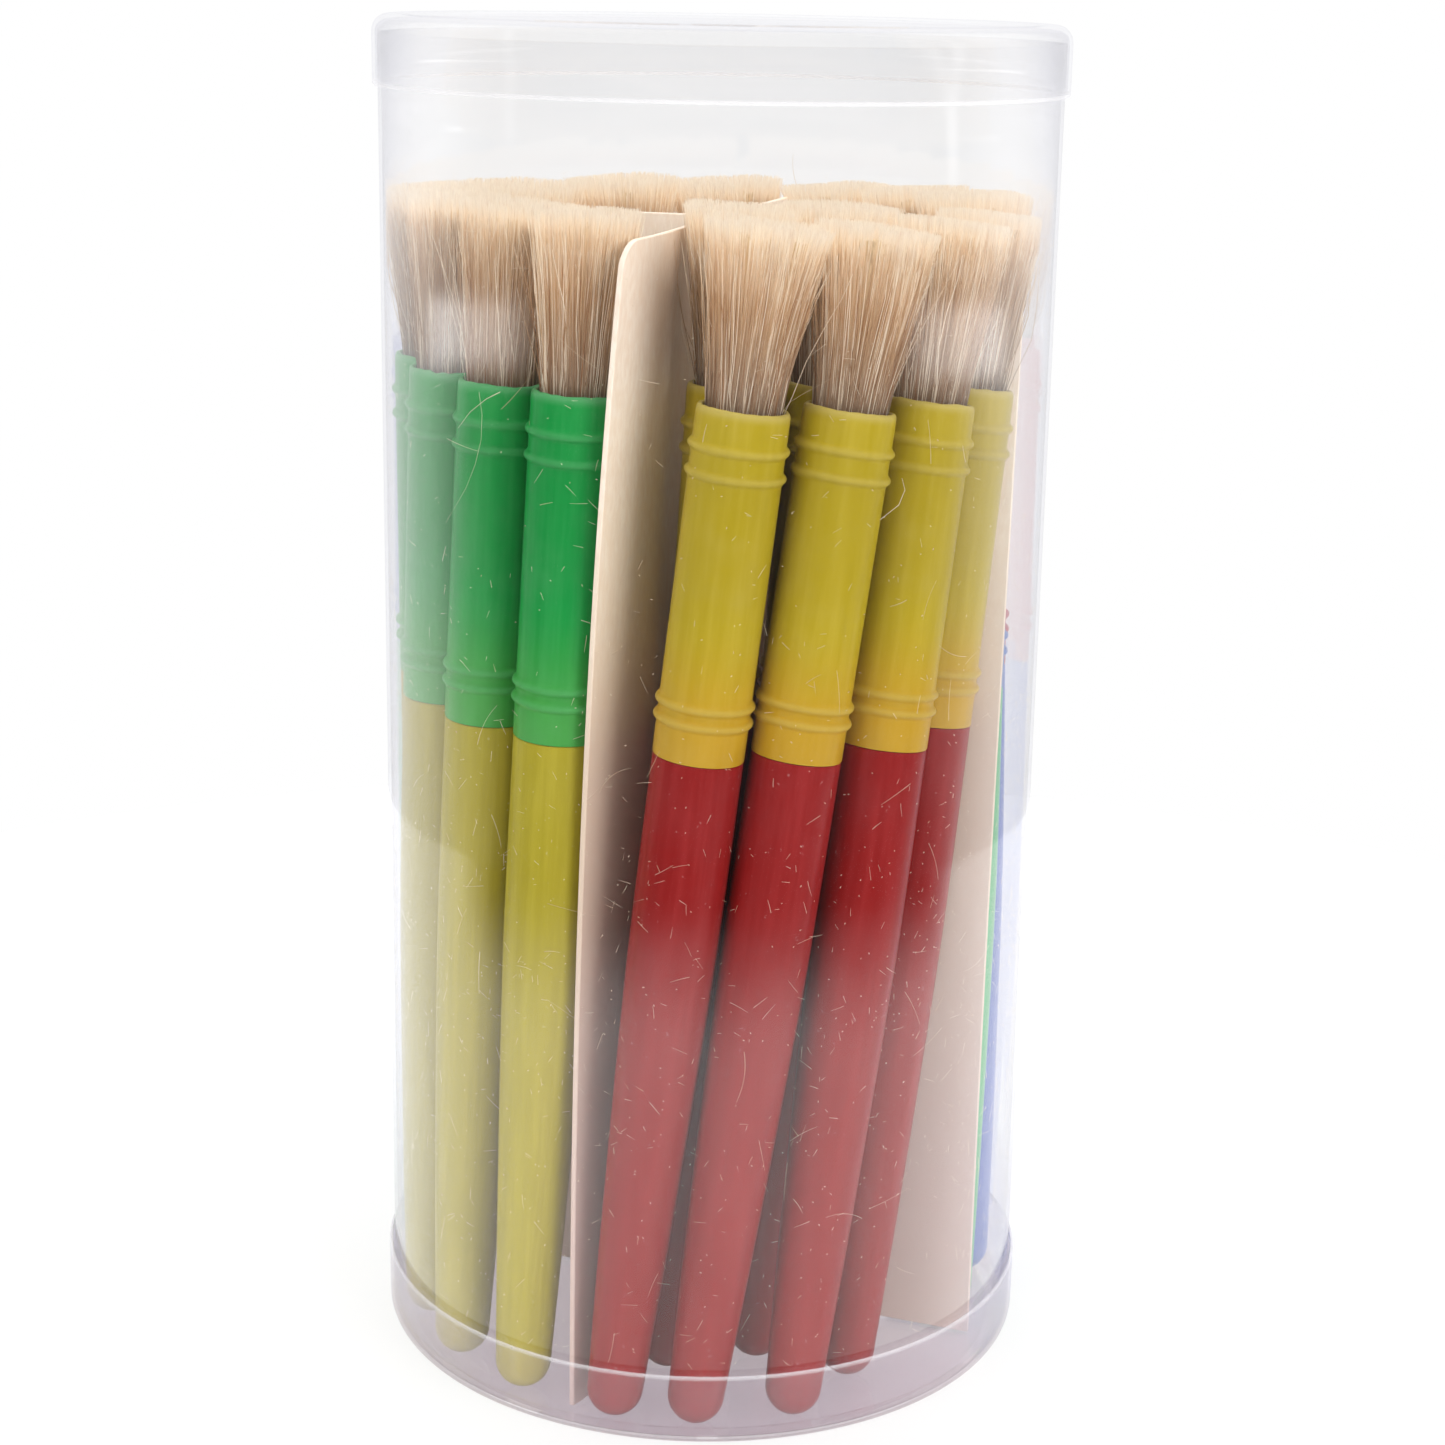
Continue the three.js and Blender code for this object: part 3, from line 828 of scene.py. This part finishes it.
def clinging(count, seed):
    g = np.random.default_rng(seed)
    V, T, tone, along = [], [], [], []
    base = 0
    for number in range(count):
        kind = g.uniform()
        short = kind < 0.975
        length = g.uniform(0.14, 0.32) if kind < 0.50 else g.uniform(0.4, 1.4) if kind < 0.86 else g.uniform(1.4, 3.0) if short else g.uniform(4.0, 8.0)
        steps = 3 if short else 9
        th = g.uniform(0, 2 * math.pi)
        z = g.uniform(14, 178) if g.uniform() < 0.45 else float(np.clip(66 + 30 * g.normal(), 13, 150))
        heading = g.uniform(0, 2 * math.pi)
        curl = g.normal() * 0.06
        ds = length / steps
        pts = []
        for i in range(steps + 1):
            pts.append((th, z))
            th += math.cos(heading) * ds / 49.3
            z += math.sin(heading) * ds
            heading += curl * ds
        if number < len(LONG):
            pts = [(math.radians(a), h) for a, h in LONG[number]]
        pts = np.array(pts)
        pts[:, 1] = np.clip(pts[:, 1], 12, 190)
        r = 49.36
        c = np.stack([r * np.cos(pts[:, 0]), r * np.sin(pts[:, 0]), pts[:, 1]], 1)
        w = g.uniform(0.050, 0.080) if length < 0.35 else g.uniform(0.022, 0.042)
        k = len(c)
        d = np.gradient(c, axis=0)
        d /= np.linalg.norm(d, axis=1)[:, None]
        out = c * np.array([1, 1, 0])
        out /= np.linalg.norm(out, axis=1)[:, None]
        side = np.cross(d, out)
        taper = np.linspace(1, 0.5, k)
        ring = []
        for j in range(3):
            a = 2 * math.pi * j / 3
            ring.append(c + (out * math.cos(a) + side * math.sin(a)) * (w * taper)[:, None])
        v = np.stack(ring, 1).reshape(-1, 3)
        t = []
        for i in range(k - 1):
            for j in range(3):
                a, b = i * 3 + j, i * 3 + (j + 1) % 3
                t += [(a, b, b + 3), (a, b + 3, a + 3)]
        t += [(0, 2, 1), ((k - 1) * 3, (k - 1) * 3 + 1, (k - 1) * 3 + 2)]
        V.append(v)
        T.append(np.array(t) + base)
        base += len(v)
        tone.append(np.full(len(v), g.uniform(0.0, 0.25)))
        along.append(np.full(len(v), g.uniform(0.7, 1.0)))
    return np.concatenate(V) * MM, np.concatenate(T), np.concatenate(tone), np.concatenate(along)


v, t, tone, along = clinging(4000, 77)
shed = add("shed_hairs", tri_mesh("shed_m", v, t), M["bristle"])
attribute(shed.data, "tone", tone)
attribute(shed.data, "along", along)
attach(shed, "tub")

# ---------------------------------------------------------------------------------------------------
# floor, light and camera
# ---------------------------------------------------------------------------------------------------
co, f = lathe([(0, 0), (120, 0), (295, 0), (295, -1), (0, -1)], 96)
floor_m = Nodes("floor")
d = floor_m.n("BsdfDiffuse")
soft = floor_m.noise(floor_m.coords(), 3.0, 2, 0.5)
floor_m.put(d.inputs["Color"], floor_m.mix(soft, (0.925, 0.925, 0.93), (0.945, 0.945, 0.945)))
sweep = floor_m.n("Emission")
sweep.inputs["Color"].default_value = (1, 1, 1, 1)
sweep.inputs["Strength"].default_value = 1.0
seen = floor_m.n("LightPath")
both = floor_m.n("MixShader")
floor_m.put(both.inputs[0], floor_m.math("MULTIPLY", seen.outputs["Is Camera Ray"], 0.75))
floor_m.link(d.outputs[0], both.inputs[1])
floor_m.link(sweep.outputs[0], both.inputs[2])
at = floor_m.n("SeparateXYZ")
floor_m.link(floor_m.coords(), at.inputs[0])
far = floor_m.math("SQRT", floor_m.math("ADD", floor_m.math("MULTIPLY", at.outputs[0], at.outputs[0]), floor_m.math("MULTIPLY", at.outputs[1], at.outputs[1])))
uneven = floor_m.math("MULTIPLY_ADD", floor_m.noise(floor_m.coords(), 9.0, 2, 0.5), 0.05, far)
room = floor_m.n("Emission")
room.inputs["Color"].default_value = (1, 1, 1, 1)
room.inputs["Strength"].default_value = 0.05
front = floor_m.step(at.outputs[1], 0.02, -0.08)
fade = floor_m.math("MULTIPLY", floor_m.math("MULTIPLY", floor_m.step(uneven, 0.215, 0.315), front), seen.outputs["Is Glossy Ray"])
whole = floor_m.n("MixShader")
floor_m.put(whole.inputs[0], fade)
floor_m.link(both.outputs[0], whole.inputs[1])
floor_m.link(room.outputs[0], whole.inputs[2])
floor_m.link(whole.outputs[0], floor_m.out.inputs[0])
floor = add("floor", mesh_from("floor_m", co, f, smooth=False), floor_m.m)


def area(name, place, target, size, power, glossy=False, size_y=None, colour=(1, 1, 1)):
    light = bpy.data.lights.new(name, "AREA")
    light.energy = power
    light.color = colour
    light.size = size
    if size_y:
        light.shape = "RECTANGLE"
        light.size_y = size_y
    o = bpy.data.objects.new(name, light)
    bpy.context.scene.collection.objects.link(o)
    o.location = place
    o.rotation_euler = (Vector(target) - Vector(place)).to_track_quat("-Z", "Y").to_euler()
    o.visible_camera = False
    o.visible_glossy = glossy
    return o


area("left", (-0.70, -0.75, 0.70), (0, 0, 0.10), 0.7, 4.5)
area("right", (0.75, -0.70, 0.50), (0, 0, 0.10), 0.7, 6.8)
area("top", (0.0, 0.10, 1.1), (0, 0, 0.0), 1.0, 5.6)
area("behind", (0.0, 0.95, 0.60), (0, 0, 0.10), 0.8, 3.0)

world = bpy.data.worlds.new("studio")
bpy.context.scene.world = world
world.use_nodes = True
wt = world.node_tree
wt.nodes.clear()
wout = wt.nodes.new("ShaderNodeOutputWorld")
lp = wt.nodes.new("ShaderNodeLightPath")
tcw = wt.nodes.new("ShaderNodeTexCoord")
sw = wt.nodes.new("ShaderNodeSeparateXYZ")
wt.links.new(tcw.outputs["Generated"], sw.inputs[0])
def wmath(op, a, b=0.0, c=0.0):
    node = wt.nodes.new("ShaderNodeMath")
    node.operation = op
    for i, v in enumerate((a, b, c)):
        if isinstance(v, bpy.types.NodeSocket):
            wt.links.new(v, node.inputs[i])
        else:
            node.inputs[i].default_value = v
    return node.outputs[0]


def wstep(value, lo, hi, to_lo=0.0, to_hi=1.0):
    node = wt.nodes.new("ShaderNodeMapRange")
    node.interpolation_type = "SMOOTHSTEP"
    wt.links.new(value, node.inputs[0])
    for i, v in enumerate((lo, hi, to_lo, to_hi)):
        node.inputs[i + 1].default_value = v
    return node.outputs[0]


# what the glossy tub sees: a dim room in front and behind, bright walls at the sides, with a low bright sill and one window edge
dx, dy, dz = sw.outputs[0], sw.outputs[1], sw.outputs[2]
depth = wmath("ABSOLUTE", dy)
walls = wstep(dy, -0.30, 0.45, 0.05, 0.97)
sill = wmath("MULTIPLY", wstep(wmath("ABSOLUTE", wmath("ADD", dz, 0.128)), 0.017, 0.006), wstep(depth, 0.50, 0.20))
edge = wmath("MULTIPLY", wstep(wmath("ABSOLUTE", wmath("ADD", dy, 0.14)), 0.075, 0.0), wmath("MULTIPLY", wstep(dz, -0.085, -0.05), wstep(dx, 0.0, 0.1)))
lit = wmath("ADD", wmath("MULTIPLY_ADD", sill, 2.4, walls), wmath("MULTIPLY", edge, 0.9))
bg_seen = wt.nodes.new("ShaderNodeBackground")
bg_seen.inputs[0].default_value = (1, 1, 1, 1)
bg_seen.inputs[1].default_value = 1.0
bg_soft = wt.nodes.new("ShaderNodeBackground")
bg_soft.inputs[0].default_value = (1, 1, 1, 1)
bg_soft.inputs[1].default_value = 0.66
bg_gloss = wt.nodes.new("ShaderNodeBackground")
bg_gloss.inputs[0].default_value = (1, 1, 1, 1)
wt.links.new(lit, bg_gloss.inputs[1])
m1 = wt.nodes.new("ShaderNodeMixShader")
m2 = wt.nodes.new("ShaderNodeMixShader")
wt.links.new(lp.outputs["Is Glossy Ray"], m1.inputs[0])
wt.links.new(bg_soft.outputs[0], m1.inputs[1])
wt.links.new(bg_gloss.outputs[0], m1.inputs[2])
wt.links.new(lp.outputs["Is Camera Ray"], m2.inputs[0])
wt.links.new(m1.outputs[0], m2.inputs[1])
wt.links.new(bg_seen.outputs[0], m2.inputs[2])
wt.links.new(m2.outputs[0], wout.inputs[0])

scene = bpy.context.scene
scene.view_settings.view_transform = "Standard"
scene.view_settings.look = "None"
scene.cycles.transparent_max_bounces = 40
scene.cycles.max_bounces = 8
scene.cycles.diffuse_bounces = 4
scene.cycles.glossy_bounces = 3
scene.cycles.sample_clamp_indirect = 4.0

F_PX, PITCH, ROLL = 2727.38, 0.2690235, 0.0185716
EYE = Vector((0.00184939, -0.40971913, 0.20990226))
fwd = Vector((0, math.cos(PITCH), -math.sin(PITCH)))
right = Vector((1, 0, 0))
up = right.cross(fwd)
r2 = right * math.cos(ROLL) + up * math.sin(ROLL)
u2 = up * math.cos(ROLL) - right * math.sin(ROLL)
cam_data = bpy.data.cameras.new("camera")
cam_data.sensor_width = 36.0
cam_data.lens = F_PX / 1445 * 36.0
cam_data.clip_start = 0.01
cam_data.clip_end = 50
cam = bpy.data.objects.new("camera", cam_data)
scene.collection.objects.link(cam)
m = Matrix.Identity(4)
for i in range(3):
    m[i][0], m[i][1], m[i][2] = r2[i], u2[i], -fwd[i]
    m[i][3] = EYE[i]
cam.matrix_world = m
scene.camera = cam
